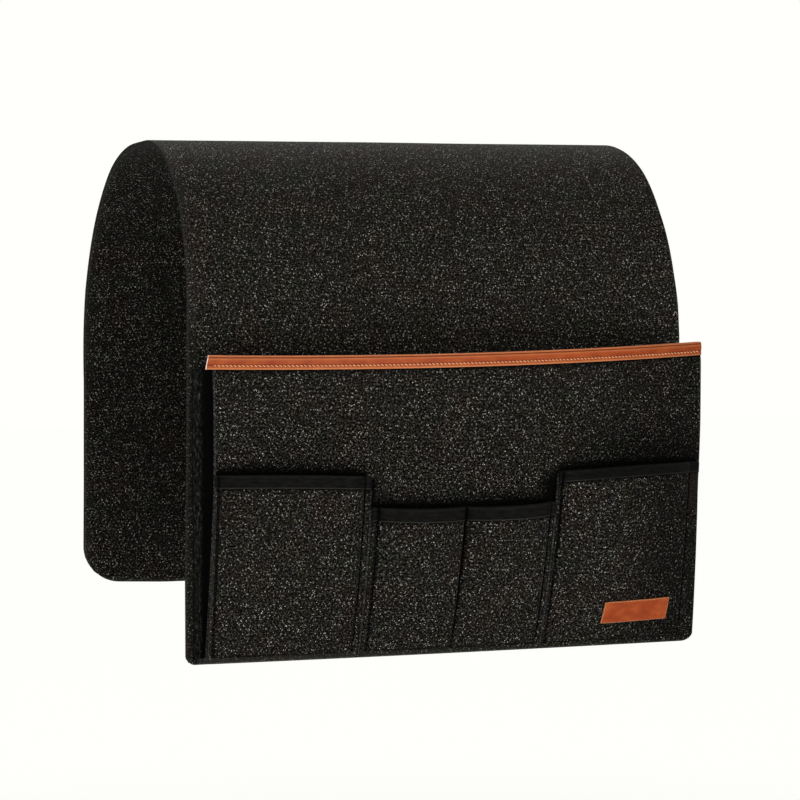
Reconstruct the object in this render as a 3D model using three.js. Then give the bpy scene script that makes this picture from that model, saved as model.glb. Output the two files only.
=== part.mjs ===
// Sofa armrest organizer: a felt strip hangs over the arm of a sofa. Its front drop carries one
// gusseted pocket, and the pocket's front panel carries three patch pockets and a leather label.
// Millimetres, +Z up, +X to the right seen from the front, the pocket towards -Y.
// The origin is the middle of the flat underside that lies on the sofa arm.
import * as THREE from "three";

// Felt strip
const STRIP_WIDTH = 320;
const STRIP_LENGTH = 880; // as cut, along the outer face, with the part turned under the pocket
const FELT = 3;
const TOP_FLAT = 30;
const FRONT_REACH = 137; // from the middle of the top to the outer face of the front drop
const FRONT_FALL = 111; // height of the front bend
const BACK_REACH = 203;
const BACK_FALL = 168;
const FRONT_DROP = 210;
const BACK_LEAN = 2.5; // degrees, the back flap stands off a little
const FRONT_CORNER = 8;
const BACK_CORNER = 22;
const HEM_ALLOWANCE = 6; // the last of the strip, sewn into the lower seam of the front panel

// Pocket
const POCKET_HEIGHT = 188; // with the leather binding, at the ends of the mouth
const MOUTH_DEPTH = 45; // at the two ends of the mouth
const MIDDLE_DEPTH = 41; // at the two sides, half way up
const FLOOR_DEPTH = 28;
const MOUTH_BULGE = 21; // how much deeper the pocket is half way along
const MIDDLE_BULGE = 17;
const MOUTH_SAG = 3;
const MOUTH_RISE = 5.5; // the mouth runs this much uphill to the right
const PANEL_MARGIN = 3; // the panel is this much narrower than the strip at each side
const PANEL_CORNER = 7;
const GUSSET_MARGIN = 5; // felt of the strip that shows outside the gusset
const GUSSET_CLOTH = 1;
const PLEAT = 9; // how far the fold of the gusset lies inwards
const GUSSET_START = 1; // its upper edge below the leather binding

// Leather binding along the mouth
const LEATHER = 1.2;
const BINDING_HEIGHT = 7; // below the panel's upper edge

// Patch pockets. Splits and divider are places along X, counted from the middle of the panel.
const PATCH_FELT = 2;
const PATCH_HEM = 6; // from the lower edge of the panel up to the patches
const SIDE_PATCH_TOP = 113; // above the lower edge of the panel
const MIDDLE_PATCH_TOP = 93;
const MIDDLE_PATCH_SAG = 2;
const PATCH_MARGIN = 3; // from the panel's end to the outermost patch edge
const LEFT_SPLIT = -62.7; // between the left and the middle patch
const RIGHT_SPLIT = 55;
const DIVIDER = -3.9; // seam that parts the middle patch into two
const SEAM_INSET = 4.5; // from a patch's edge to the seam that holds it
const GAPE = 11; // how far a patch pocket stands open at its mouth
const TAPE = 0.8;
const TAPE_HEIGHT = 7;

// Leather label
const LABEL_LENGTH = 44;
const LABEL_HEIGHT = 13.5;
const LABEL_INSET = 41; // from the panel's right end to the middle of the label
const LABEL_RISE = 22.5; // its middle above the lower edge of the panel
const LABEL_TURN = 1.2; // degrees
const LABEL_SLANT = 7; // degrees that its short sides lean

// Clearance between pieces that are sewn or laid together
const CLEAR = 0.3;

// Facets
const BEND_STEPS = 24;
const CORNER_STEPS = 5;

const degrees = THREE.MathUtils.degToRad;
const halfWidth = STRIP_WIDTH / 2;
const topZ = FELT;
const frontHingeZ = topZ - FRONT_FALL;
const backHingeZ = topZ - BACK_FALL;
const pocketFloorZ = frontHingeZ - FRONT_DROP;
const panelHalf = halfWidth - PANEL_MARGIN;
const outerEdge = panelHalf - PATCH_MARGIN;
const labelX = panelHalf - LABEL_INSET;

const finishes = {
  felt: { color: 0x24231f, roughness: 0.95, metalness: 0 },
  polyester: { color: 0x1b1a18, roughness: 0.55, metalness: 0 },
  tape: { color: 0x181716, roughness: 0.7, metalness: 0 },
  leather: { color: 0xa04a2a, roughness: 0.5, metalness: 0 },
};
const organizer = new THREE.Group();

// Adds a named piece to its group
function piece(parent, name, geometry, finish) {
  const mesh = new THREE.Mesh(geometry, new THREE.MeshStandardMaterial(finishes[finish]));
  mesh.name = name;
  parent.add(mesh);
  return mesh;
}

// Evenly spaced stops from one value to another, both included
function stops(from, to, count) {
  return Array.from({ length: count + 1 }, (_, i) => from + ((to - from) * i) / count);
}

// A closed geometry from points and triangles
function solid(points, index) {
  const geometry = new THREE.BufferGeometry();
  const flat = points.flatMap((p) => p.toArray());
  geometry.setAttribute("position", new THREE.Float32BufferAttribute(flat, 3));
  geometry.setIndex(index);
  geometry.computeVertexNormals();
  return geometry;
}

// A closed sheet between two faces, each given as a function of the stops u and v
function sheet(outer, inner, uStops, vStops) {
  const columns = uStops.length;
  const rows = vStops.length;
  const points = [];
  for (const face of [outer, inner]) {
    for (const v of vStops) {
      for (const u of uStops) points.push(face(u, v));
    }
  }
  const at = (side, i, j) => (side * rows + j) * columns + i;
  const index = [];
  const quad = (a, b, c, d) => index.push(a, b, c, a, c, d);
  for (let j = 0; j + 1 < rows; j++) {
    for (let i = 0; i + 1 < columns; i++) {
      quad(at(0, i, j), at(0, i + 1, j), at(0, i + 1, j + 1), at(0, i, j + 1));
      quad(at(1, i, j), at(1, i, j + 1), at(1, i + 1, j + 1), at(1, i + 1, j));
    }
  }
  const last = rows - 1;
  const end = columns - 1;
  for (let i = 0; i < end; i++) {
    quad(at(0, i, 0), at(1, i, 0), at(1, i + 1, 0), at(0, i + 1, 0));
    quad(at(0, i + 1, last), at(1, i + 1, last), at(1, i, last), at(0, i, last));
  }
  for (let j = 0; j < last; j++) {
    quad(at(0, 0, j + 1), at(1, 0, j + 1), at(1, 0, j), at(0, 0, j));
    quad(at(0, end, j), at(1, end, j), at(1, end, j + 1), at(0, end, j + 1));
  }
  return solid(points, index);
}

// A closed body swept through frames towards +X: the section's first number runs along the
// frame's out direction and its second along the frame's up direction
function sweep(section, frames) {
  const points = [];
  for (const { origin, out, up } of frames) {
    for (const s of section) {
      points.push(origin.clone().addScaledVector(out, s.x).addScaledVector(up, s.y));
    }
  }
  const n = section.length;
  const index = [];
  for (let k = 0; k + 1 < frames.length; k++) {
    for (let i = 0; i < n; i++) {
      const a = k * n + i;
      const b = k * n + ((i + 1) % n);
      index.push(a, b + n, b, a, a + n, b + n);
    }
  }
  const far = (frames.length - 1) * n;
  for (const [a, b, c] of THREE.ShapeUtils.triangulateShape(section, [])) {
    index.push(a, b, c, far + a, far + c, far + b);
  }
  return solid(points, index);
}

// One bend of the strip in the Y-Z plane: outer and inner face from the leg's end up to the flat
function bend(side, reach, fall) {
  const along = reach - TOP_FLAT / 2;
  const outer = [];
  const inner = [];
  for (const t of stops(0, Math.PI / 2, BEND_STEPS)) {
    const y = side * (TOP_FLAT / 2 + along * Math.cos(t));
    const z = topZ - fall + fall * Math.sin(t);
    const normal = new THREE.Vector2((side * Math.cos(t)) / along, Math.sin(t) / fall).normalize();
    outer.push(new THREE.Vector2(y, z));
    inner.push(new THREE.Vector2(y, z).addScaledVector(normal, -FELT));
  }
  return { outer, inner };
}

function length(points) {
  return points.slice(1).reduce((sum, p, i) => sum + p.distanceTo(points[i]), 0);
}

const frontBend = bend(-1, FRONT_REACH, FRONT_FALL);
const backBend = bend(1, BACK_REACH, BACK_FALL);

// What the top, the bends, the front drop and the turned-under floor leave of the strip's length
const backDrop =
  STRIP_LENGTH -
  TOP_FLAT -
  length(frontBend.outer) -
  length(backBend.outer) -
  FRONT_DROP -
  FLOOR_DEPTH -
  HEM_ALLOWANCE;

// The middle of the strip: flat top and both bends, one extrusion across the width
function stripTop() {
  const outline = [
    ...frontBend.outer,
    ...backBend.outer.slice().reverse(),
    ...backBend.inner,
    ...frontBend.inner.slice().reverse(),
  ];
  const body = new THREE.ExtrudeGeometry(new THREE.Shape(outline.reverse()), {
    depth: STRIP_WIDTH,
    bevelEnabled: false,
  });
  const across = new THREE.Matrix4().makeBasis(
    new THREE.Vector3(0, 1, 0),
    new THREE.Vector3(0, 0, 1),
    new THREE.Vector3(1, 0, 0),
  );
  return body.applyMatrix4(across).translate(-halfWidth, 0, 0);
}

// A flat leg of the strip that hangs down from its own upper edge, with two round lower corners.
// It is drawn in the X-Z plane and is thick towards -Y.
function leg(drop, corner) {
  const outline = new THREE.Shape();
  outline.moveTo(-halfWidth, 0);
  outline.lineTo(-halfWidth, corner - drop);
  outline.absarc(corner - halfWidth, corner - drop, corner, Math.PI, 1.5 * Math.PI, false);
  outline.lineTo(halfWidth - corner, -drop);
  outline.absarc(halfWidth - corner, corner - drop, corner, 1.5 * Math.PI, 2 * Math.PI, false);
  outline.lineTo(halfWidth, 0);
  const body = new THREE.ExtrudeGeometry(outline, {
    depth: FELT,
    bevelEnabled: false,
    curveSegments: CORNER_STEPS,
  });
  return body.rotateX(Math.PI / 2);
}

// Value at 0, 1/2 and 1 joined by one smooth curve
function through(low, middle, high, h) {
  return low + (4 * middle - 3 * low - high) * h + (2 * low + 2 * high - 4 * middle) * h * h;
}

const crown = (x) => 1 - (x / halfWidth) ** 2;

// The outer face of the front panel, h running from 0 at its lower edge to 1 at the mouth
function panelPoint(x, z) {
  const h = (z - pocketFloorZ) / POCKET_HEIGHT;
  const side = through(FLOOR_DEPTH, MIDDLE_DEPTH, MOUTH_DEPTH, h);
  const bulge = through(0, MIDDLE_BULGE, MOUTH_BULGE, h);
  return new THREE.Vector3(x, -FRONT_REACH - side - bulge * crown(x), z);
}

// The panel's directions at a point: out of its face and up along it
function panelFrame(x, z) {
  const step = 0.5;
  const origin = panelPoint(x, z);
  const along = panelPoint(x + step, z).sub(panelPoint(x - step, z)).normalize();
  const up = panelPoint(x, z + step).sub(panelPoint(x, z - step)).normalize();
  return { origin, along, up, out: along.clone().cross(up).normalize() };
}

function offPanel(x, z, distance) {
  const { origin, out } = panelFrame(x, z);
  return origin.addScaledVector(out, distance);
}

// Upper edge of the panel
function mouthZ(x) {
  const ends = pocketFloorZ + POCKET_HEIGHT - CLEAR - LEATHER;
  return ends - MOUTH_SAG * crown(x) + (MOUTH_RISE * x) / STRIP_WIDTH;
}

// Lower edge of the panel, raised where its corners are round
function panelLowZ(x) {
  const past = Math.max(0, Math.abs(x) - (panelHalf - PANEL_CORNER));
  return pocketFloorZ + PANEL_CORNER - Math.sqrt(PANEL_CORNER ** 2 - Math.min(past, PANEL_CORNER) ** 2);
}

function frontPanel() {
  const round = stops(0, Math.PI / 2, CORNER_STEPS).map((t) => PANEL_CORNER * Math.sin(t));
  const left = round.map((r) => -panelHalf + PANEL_CORNER - r).reverse();
  const middle = stops(-panelHalf + PANEL_CORNER, panelHalf - PANEL_CORNER, 32).slice(1, -1);
  const right = round.map((r) => panelHalf - PANEL_CORNER + r);
  const face = (distance) => (x, v) => {
    const low = panelLowZ(x);
    return offPanel(x, low + v * (mouthZ(x) - low), distance);
  };
  return sheet(face(0), face(-FELT), [...left, ...middle, ...right], stops(0, 1, 14));
}

// Section of a strip folded over an edge: the edge's outer face is at 0 and its top at 0
function foldedSection(thick, wall, height) {
  const side = CLEAR + wall;
  const round = wall;
  const corner = (x, y, from) =>
    stops(from, from + Math.PI / 2, 3).map(
      (t) => new THREE.Vector2(x + round * Math.cos(t), y + round * Math.sin(t)),
    );
  return [
    new THREE.Vector2(CLEAR, -height),
    new THREE.Vector2(side, -height),
    ...corner(side - round, side - round, 0),
    ...corner(round - thick - side, side - round, Math.PI / 2),
    new THREE.Vector2(-thick - side, -height),
    new THREE.Vector2(-thick - CLEAR, -height),
    new THREE.Vector2(-thick - CLEAR, CLEAR),
    new THREE.Vector2(CLEAR, CLEAR),
  ];
}

function mouthBinding() {
  const section = foldedSection(FELT, LEATHER, BINDING_HEIGHT);
  const frames = stops(-panelHalf, panelHalf, 40).map((x) => panelFrame(x, mouthZ(x)));
  return sweep(section, frames);
}

// The patch pockets. Their seams part them into cells, and each cell gapes at its mouth.
const patches = {
  left: {
    from: -outerEdge,
    to: LEFT_SPLIT - CLEAR,
    top: SIDE_PATCH_TOP,
    sag: 0,
    cells: [[-outerEdge + SEAM_INSET, LEFT_SPLIT - SEAM_INSET]],
  },
  middle: {
    from: LEFT_SPLIT + CLEAR,
    to: RIGHT_SPLIT - CLEAR,
    top: MIDDLE_PATCH_TOP,
    sag: MIDDLE_PATCH_SAG,
    cells: [
      [LEFT_SPLIT + SEAM_INSET, DIVIDER],
      [DIVIDER, RIGHT_SPLIT - SEAM_INSET],
    ],
  },
  right: {
    from: RIGHT_SPLIT + CLEAR,
    to: outerEdge,
    top: SIDE_PATCH_TOP,
    sag: 0,
    cells: [[RIGHT_SPLIT + SEAM_INSET, outerEdge - SEAM_INSET]],
  },
};

const patchLowZ = pocketFloorZ + PATCH_HEM;

function patchTopZ(patch, x) {
  const t = (x - patch.from) / (patch.to - patch.from);
  return pocketFloorZ + patch.top - patch.sag * 4 * t * (1 - t);
}

const tapeLowZ = (patch, x) => patchTopZ(patch, x) - TAPE_HEIGHT;

// How far a patch stands off the panel. Its seams leave room for the tape folded over its mouth.
function standOff(patch, x, z) {
  const rise = (z - patchLowZ) / (tapeLowZ(patch, x) - patchLowZ);
  const up = THREE.MathUtils.clamp(rise, 0, 1);
  const cell = patch.cells.find(([a, b]) => x > a && x < b);
  const across = cell ? Math.sin((Math.PI * (x - cell[0])) / (cell[1] - cell[0])) : 0;
  return (TAPE + CLEAR) * up + GAPE * across ** 0.6 * up ** 0.6;
}

function patchPoint(patch, x, z, distance) {
  return offPanel(x, z, CLEAR + standOff(patch, x, z) + distance);
}

function patchStops(patch) {
  const inner = patch.cells.flatMap(([a, b]) => stops(a, b, 12));
  return [...new Set([patch.from, ...inner, patch.to])];
}

// v runs from 0 at a patch's lower edge to 1 under its tape and 2 at its mouth
function patchPocket(patch) {
  const face = (distance) => (x, v) => {
    const below = patchLowZ + v * (tapeLowZ(patch, x) - patchLowZ);
    const z = v > 1 ? tapeLowZ(patch, x) + (v - 1) * TAPE_HEIGHT : below;
    return patchPoint(patch, x, z, distance);
  };
  const rows = [...stops(0, 1, 9).map((v) => v ** 1.6), 2];
  return sheet(face(PATCH_FELT), face(0), patchStops(patch), rows);
}

// The tape folded over a patch's mouth
function patchTape(patch) {
  const section = foldedSection(PATCH_FELT, TAPE, TAPE_HEIGHT);
  const frames = patchStops(patch).map((x) => {
    const z = patchTopZ(patch, x);
    return { ...panelFrame(x, z), origin: patchPoint(patch, x, z, PATCH_FELT) };
  });
  return sweep(section, frames);
}

// The label follows the face of the right patch pocket
function label() {
  const turn = degrees(LABEL_TURN);
  const slant = Math.tan(degrees(LABEL_SLANT));
  const face = (distance) => (u, v) => {
    const a = u * LABEL_LENGTH + v * LABEL_HEIGHT * slant;
    const b = v * LABEL_HEIGHT;
    const x = labelX + a * Math.cos(turn) - b * Math.sin(turn);
    const z = pocketFloorZ + LABEL_RISE + a * Math.sin(turn) + b * Math.cos(turn);
    return patchPoint(patches.right, x, z, PATCH_FELT + distance);
  };
  return sheet(face(CLEAR + LEATHER), face(CLEAR), stops(-0.5, 0.5, 10), stops(-0.5, 0.5, 4));
}

// Side gusset: a sheet from the strip to the front panel, folded inwards along its middle
function gusset(side) {
  const edge = side * (halfWidth - GUSSET_MARGIN);
  const low = pocketFloorZ + FELT + CLEAR;
  const wall = (inwards) => (u, v) => {
    const z = low + v * (mouthZ(edge) - BINDING_HEIGHT - GUSSET_START - low);
    const back = -FRONT_REACH - CLEAR;
    const front = offPanel(edge, z, -FELT - CLEAR).y;
    const fold = PLEAT * (1 - Math.abs(2 * u - 1));
    return new THREE.Vector3(edge - side * (fold + inwards), back + u * (front - back), z);
  };
  const across = stops(0, 1, 6);
  if (side > 0) across.reverse();
  return sheet(wall(0), wall(GUSSET_CLOTH), across, stops(0, 1, 12));
}

// The strip's end, turned forwards under the pocket as its floor
function pocketFloor() {
  const half = halfWidth - GUSSET_MARGIN;
  const outline = new THREE.Shape();
  outline.moveTo(-half, FELT);
  outline.absarc(FELT - half, FELT, FELT, Math.PI, 1.5 * Math.PI, false);
  outline.absarc(half - FELT, FELT, FELT, 1.5 * Math.PI, 2 * Math.PI, false);
  const front = offPanel(half, pocketFloorZ, -FELT).y;
  const depth = -FRONT_REACH - CLEAR - (front + CLEAR);
  const body = new THREE.ExtrudeGeometry(outline, {
    depth,
    bevelEnabled: false,
    curveSegments: CORNER_STEPS,
  });
  return body.rotateX(Math.PI / 2).translate(0, -FRONT_REACH - CLEAR, pocketFloorZ);
}

piece(organizer, "strip_top", stripTop(), "felt");

const frontDrop = new THREE.Group();
organizer.add(frontDrop);
const frontLeg = piece(frontDrop, "strip_front_drop", leg(FRONT_DROP - CLEAR, FRONT_CORNER), "felt");
frontLeg.position.set(0, FELT - FRONT_REACH, frontHingeZ - CLEAR);
piece(frontDrop, "strip_floor", pocketFloor(), "felt");
piece(frontDrop, "gusset_left", gusset(-1), "polyester");
piece(frontDrop, "gusset_right", gusset(1), "polyester");

const pocketFront = new THREE.Group();
frontDrop.add(pocketFront);
piece(pocketFront, "front_panel", frontPanel(), "felt");
piece(pocketFront, "mouth_binding", mouthBinding(), "leather");
for (const [name, patch] of Object.entries(patches)) {
  piece(pocketFront, "patch_pocket_" + name, patchPocket(patch), "felt");
  piece(pocketFront, "tape_" + name, patchTape(patch), "tape");
}
piece(pocketFront, "label", label(), "leather");

// The back flap swings on the outer face of the back bend
const backFlap = new THREE.Group();
backFlap.position.set(0, BACK_REACH, backHingeZ);
backFlap.rotation.x = degrees(BACK_LEAN);
organizer.add(backFlap);
const backLeg = piece(backFlap, "strip_back_flap", leg(backDrop - CLEAR, BACK_CORNER), "felt");
backLeg.position.set(0, 0, -CLEAR);

export default organizer;
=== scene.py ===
# Sofa armrest organizer: looks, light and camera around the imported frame.
# Shapes are worked out in millimetres in the frame's axes and turned into metres as a mesh is made.
import math
from collections import namedtuple

import bpy
import numpy as np
from mathutils import Matrix, Vector


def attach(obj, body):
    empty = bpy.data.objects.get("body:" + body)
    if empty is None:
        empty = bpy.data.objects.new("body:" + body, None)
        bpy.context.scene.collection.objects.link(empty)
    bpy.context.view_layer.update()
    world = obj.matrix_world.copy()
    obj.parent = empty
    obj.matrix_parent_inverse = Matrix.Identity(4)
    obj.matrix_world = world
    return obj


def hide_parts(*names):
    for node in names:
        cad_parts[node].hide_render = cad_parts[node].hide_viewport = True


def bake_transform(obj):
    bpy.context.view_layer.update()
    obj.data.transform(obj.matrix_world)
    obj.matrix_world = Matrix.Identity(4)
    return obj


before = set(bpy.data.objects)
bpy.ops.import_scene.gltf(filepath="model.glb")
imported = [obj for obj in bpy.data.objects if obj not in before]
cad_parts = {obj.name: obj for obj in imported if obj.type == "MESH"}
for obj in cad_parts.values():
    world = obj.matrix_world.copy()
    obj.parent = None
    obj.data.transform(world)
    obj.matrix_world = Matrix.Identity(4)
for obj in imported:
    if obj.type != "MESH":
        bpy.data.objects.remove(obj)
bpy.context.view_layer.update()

MM = 0.001

# Felt strip: a flat top, a quarter of an ellipse down each side, the front drop and the leaning back flap
HALF = 160.0
FELT = 3.0
TOP_Z = 3.0
TOP_FLAT = 30.0
FRONT_REACH = 137.0
FRONT_FALL = 111.0
BACK_REACH = 203.0
BACK_FALL = 168.0
FRONT_DROP = 210.0
BACK_LEAN = math.radians(2.5)
STRIP_LENGTH = 880.0
HEM_ALLOWANCE = 3.2
HEM_SAG = 3.6
FRONT_CORNER = 5.0
BACK_CORNER = 26.0
FRONT_HINGE_Z = TOP_Z - FRONT_FALL
BACK_HINGE_Z = TOP_Z - BACK_FALL
FLOOR_Z = FRONT_HINGE_Z - FRONT_DROP

# Pocket: depths and bulges at the floor, half-way and at the mouth, then the panel and the gussets
POCKET_HEIGHT = 188.0
MOUTH_DEPTH = 45.0
MIDDLE_DEPTH = 41.0
FLOOR_DEPTH = 28.0
MOUTH_BULGE = 21.0
MIDDLE_BULGE = 17.0
MOUTH_SAG = 2.4
MOUTH_LIFT = 0.35
MOUTH_RISE = 5.5
PANEL_HALF = 157.0
PANEL_CORNER = 5.5
SEWN_CORNER = 2.5
PANEL_LOW = 0.9
GUSSET_CLOTH = 0.8
GUSSET_REAR = 157.6
GUSSET_FRONT = 155.0
GUSSET_INSET = 1.6
PLEAT = 9.5

# Leather binding, patch pockets, tapes and label
LEATHER = 1.2
BINDING_HEIGHT = 7.0
STITCH_UP = -5.0
CLEAR = 0.3
PATCH_FELT = 2.0
PATCH_LOW = 1.4
BOTTOM_SEAM = 5.2
GROOVE = 0.9
SEAM_PRESS = 0.65  # how far a seam presses a patch's inner face in
OUTER_EDGE = 156.6
LEFT_SPLIT = -62.7
RIGHT_SPLIT = 55.0
DIVIDER = -3.9
BETWEEN_PATCHES = 140.0  # a patch's edge inside this is not part of the object's outline
PANEL_LINE = LEFT_SPLIT + 1.7  # a painted shadow line on the panel beside the left patch
GAPE = 11.0
TAPE = 0.8
LABEL_LENGTH = 44.2
LABEL_HEIGHT = 13.2
LABEL_X = 115.2
LABEL_RISE = 23.9
LABEL_TURN = math.radians(1.2)
LABEL_SLANT = math.radians(4.8)

# Painted shade: how cloth darkens towards the right side: where it starts, where it ends and how much
PANEL_SHADE_TO_RIGHT = (70, 115, 0.3)
PATCH_SHADE_TO_RIGHT = (95, 130, 0.5)
TAPE_SHADE_TO_RIGHT = (55, 75, 0.5)
BINDING_SHADE_TO_RIGHT = (75, 150, 0.28)

# Where pieces lie on the wave or on their material's pattern, so that no two show the same stretch
PANEL_ON_WAVE = 700
PANEL_ON_PATTERN = 900
FLOOR_ON_PATTERN = 500
LABEL_ON_PATTERN = 300

CLOSEST_STOPS = 0.25  # the least step of a grid

# Camera at the photograph's viewing angle
CAMERA_AT = Vector((-0.49574, -1.58645, -0.0979))
CAMERA_YAW = math.radians(17.976)
CAMERA_PITCH = math.radians(2.444)
CAMERA_ROLL = math.radians(-0.155)
CAMERA_LENS = 110.58


def new_object(name, data):
    made = bpy.data.objects.new(name, data)
    bpy.context.scene.collection.objects.link(made)
    return made


def make_camera():
    data = bpy.data.cameras.new("camera")
    data.sensor_width = 36
    data.lens = CAMERA_LENS
    data.clip_start = 0.05
    data.clip_end = 30
    camera = new_object("camera", data)
    yaw, pitch, roll = CAMERA_YAW, CAMERA_PITCH, CAMERA_ROLL
    look = Vector((math.sin(yaw) * math.cos(pitch), math.cos(yaw) * math.cos(pitch), -math.sin(pitch)))
    right = Vector((math.cos(yaw), -math.sin(yaw), 0))
    up = right.cross(look)
    turned_right = math.cos(roll) * right + math.sin(roll) * up
    turned_up = math.cos(roll) * up - math.sin(roll) * right
    place = Matrix((turned_right, turned_up, -look)).transposed().to_4x4()
    place.translation = CAMERA_AT
    camera.matrix_world = place
    bpy.context.scene.camera = camera


make_camera()


# Values that the materials share
# How far the painted shade in folds and recesses reaches
SHADE_REACH = 0.012
# Black for seams and for painted shade and shadow
SEAM_AND_SHADE_BLACK = (0.001, 0.001, 0.001)
FELT_TINTS = [(0.36, (0.088, 0.086, 0.06)), (0.46, (0.09, 0.087, 0.074)), (0.62, (0.106, 0.084, 0.068))]
FLECK_COLOUR = (0.9, 0.88, 0.8)
FLECK_TURNS = (0.5, 1.6, 2.6)
LINING_COLOUR = (0.16, 0.157, 0.147)
PRESSED_GREY = (0.27, 0.275, 0.285)


# Node helpers
def fill(tree, socket, value):
    if isinstance(value, bpy.types.NodeSocket):
        tree.links.new(value, socket)
    elif isinstance(value, tuple) and socket.type == "RGBA":
        socket.default_value = (*value, 1)
    else:
        socket.default_value = value


def add(tree, kind, links=None, **settings):
    made = tree.nodes.new("ShaderNode" + kind)
    for key, value in settings.items():
        setattr(made, key, value)
    for key, value in (links or {}).items():
        fill(tree, made.inputs[key], value)
    return made.outputs


def maths(tree, operation, *values):
    return add(tree, "Math", dict(enumerate(values)), operation=operation)[0]


def ramp(tree, value, stops):
    made = tree.nodes.new("ShaderNodeValToRGB")
    elements = made.color_ramp.elements
    while len(elements) < len(stops):
        elements.new(0.5)
    for element, (position, colour) in zip(elements, stops):
        element.position = position
        element.color = (*(colour if isinstance(colour, tuple) else (colour,) * 3), 1)
    tree.links.new(value, made.inputs["Fac"])
    return made.outputs["Color"]


def mix(tree, kind, share, first, second):
    made = tree.nodes.new("ShaderNodeMix")
    made.data_type = "RGBA"
    made.blend_type = kind
    for k, value in ((0, share), (6, first), (7, second)):
        fill(tree, made.inputs[k], value)
    return made.outputs[2]


def new_material(name, **sockets):
    material = bpy.data.materials.new(name)
    material.use_nodes = True
    shader = material.node_tree.nodes["Principled BSDF"]
    for key, value in sockets.items():
        fill(material.node_tree, shader.inputs[key.replace("_", " ")], value)
    return material, material.node_tree, shader


def cloth_place(tree, scale=(1, 1), offset=(0, 0), turn=0.0):
    """Millimetres along and across the cloth, from the map that every piece carries."""
    flat = add(tree, "UVMap", uv_map="cloth")["UV"]
    turned = add(tree, "Mapping", {"Vector": flat, "Rotation": (0, 0, turn)})[0]
    return add(tree, "Mapping", {"Vector": turned, "Location": (*offset, 0), "Scale": (*scale, 1)})[0]


def noise(tree, place, scale, detail=0.0, roughness=0.5, swirl=0.0):
    links = {"Vector": place, "Scale": scale, "Detail": detail, "Roughness": roughness, "Distortion": swirl}
    return add(tree, "TexNoise", links)["Fac"]


def mark(tree, name):
    return add(tree, "Attribute", attribute_name=name)["Fac"]


def scaled(colour, share):
    return tuple(value * share for value in colour)


def painted_crease_shade(tree, colour):
    """Painted shade: an ambient occlusion darkening of the tone where cloth lies close to cloth, in folds
    and recesses.
    """
    open_share = add(tree, "AmbientOcclusion", {"Distance": SHADE_REACH}, samples=6)["AO"]
    depth = ramp(tree, open_share, [(0.2, 0.03), (0.5, 0.35), (0.75, 1.0)])
    return mix(tree, "MULTIPLY", 1.0, colour, depth)


def set_bump(tree, shader, height, strength, distance):
    rise = add(tree, "Bump", {"Height": height, "Strength": strength, "Distance": distance})[0]
    tree.links.new(rise, shader.inputs["Normal"])


# Felt: dark fibres, short pale flecks lying in every direction and a slow change of tint
def felt_flecks(tree, seed, pressed):
    """How much of a pale fleck shows: three layers turned different ways, thinned out in some places
    and where the felt is pressed smooth."""
    flecks = None
    for i, turn in enumerate(FLECK_TURNS):
        place = cloth_place(tree, (0.38, 0.78), (seed + 3.1 * i, 7.7 * i), turn)
        cell = add(tree, "TexVoronoi", {"Vector": place, "Scale": 1.0}, voronoi_dimensions="2D")
        shape = ramp(tree, cell["Distance"], [(0.06, 1.0), (0.18, 0.0)])
        shown = maths(tree, "POWER", add(tree, "SeparateColor", {0: cell["Color"]})[0], 9.5)
        fleck = maths(tree, "MULTIPLY", shape, shown)
        flecks = fleck if flecks is None else maths(tree, "MAXIMUM", flecks, fleck)
    flecks = maths(tree, "MULTIPLY", flecks, maths(tree, "MULTIPLY_ADD", pressed, -0.8, 1.0))
    crowd = noise(tree, cloth_place(tree, offset=(seed, 90.0)), 0.13, 2.0, 0.6)
    crowd = maths(tree, "MAXIMUM", maths(tree, "MULTIPLY_ADD", crowd, 4.2, -1.1), 0.3)
    return maths(tree, "MULTIPLY", flecks, crowd)


def felt_material(name, seed, ground, bright, lining):
    """One cut of the felt: its place on the pattern, and how light its ground, its flecks and the thin line
    along its edges are. The ground's level is painted shade for the piece."""
    surface = dict(Roughness=0.95, Sheen_Weight=0.03, Sheen_Roughness=0.4, Specular_IOR_Level=0.02)
    material, tree, shader = new_material(name, **surface)
    pressed = mark(tree, "pressed")
    flecks = felt_flecks(tree, seed, pressed)
    fine = noise(tree, cloth_place(tree, offset=(seed, 2.0)), 0.85, 3.0, 0.7, swirl=0.3)
    broad = noise(tree, cloth_place(tree, offset=(seed, 40.0)), 0.035, 2.0)
    grain = maths(tree, "EXPONENT", maths(tree, "MULTIPLY_ADD", fine, 16.5, -10.6 + math.log(ground)))
    quiet = mix(tree, "MIX", maths(tree, "MULTIPLY", pressed, 0.75), grain, PRESSED_GREY)
    dark = mix(tree, "MULTIPLY", 1.0, ramp(tree, broad, FELT_TINTS), quiet)
    pale = mix(tree, "ADD", flecks, dark, scaled(FLECK_COLOUR, bright))
    broken = ramp(tree, fine, [(0.35, 0.2), (0.55, 1.0)])
    rim = maths(tree, "MULTIPLY", maths(tree, "POWER", mark(tree, "rim"), 5.0), broken)
    lined = mix(tree, "ADD", rim, pale, scaled(LINING_COLOUR, lining))
    # Black at seams and painted shade and shadow where the mark says, then painted shade in folds and
    # recesses
    sewn = mix(tree, "MIX", mark(tree, "seam_and_shade"), lined, SEAM_AND_SHADE_BLACK)
    tree.links.new(painted_crease_shade(tree, sewn), shader.inputs["Base Color"])
    height = maths(tree, "ADD", fine, maths(tree, "MULTIPLY", flecks, 0.5))
    set_bump(tree, shader, height, 0.5, 0.0004)
    return material


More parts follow.
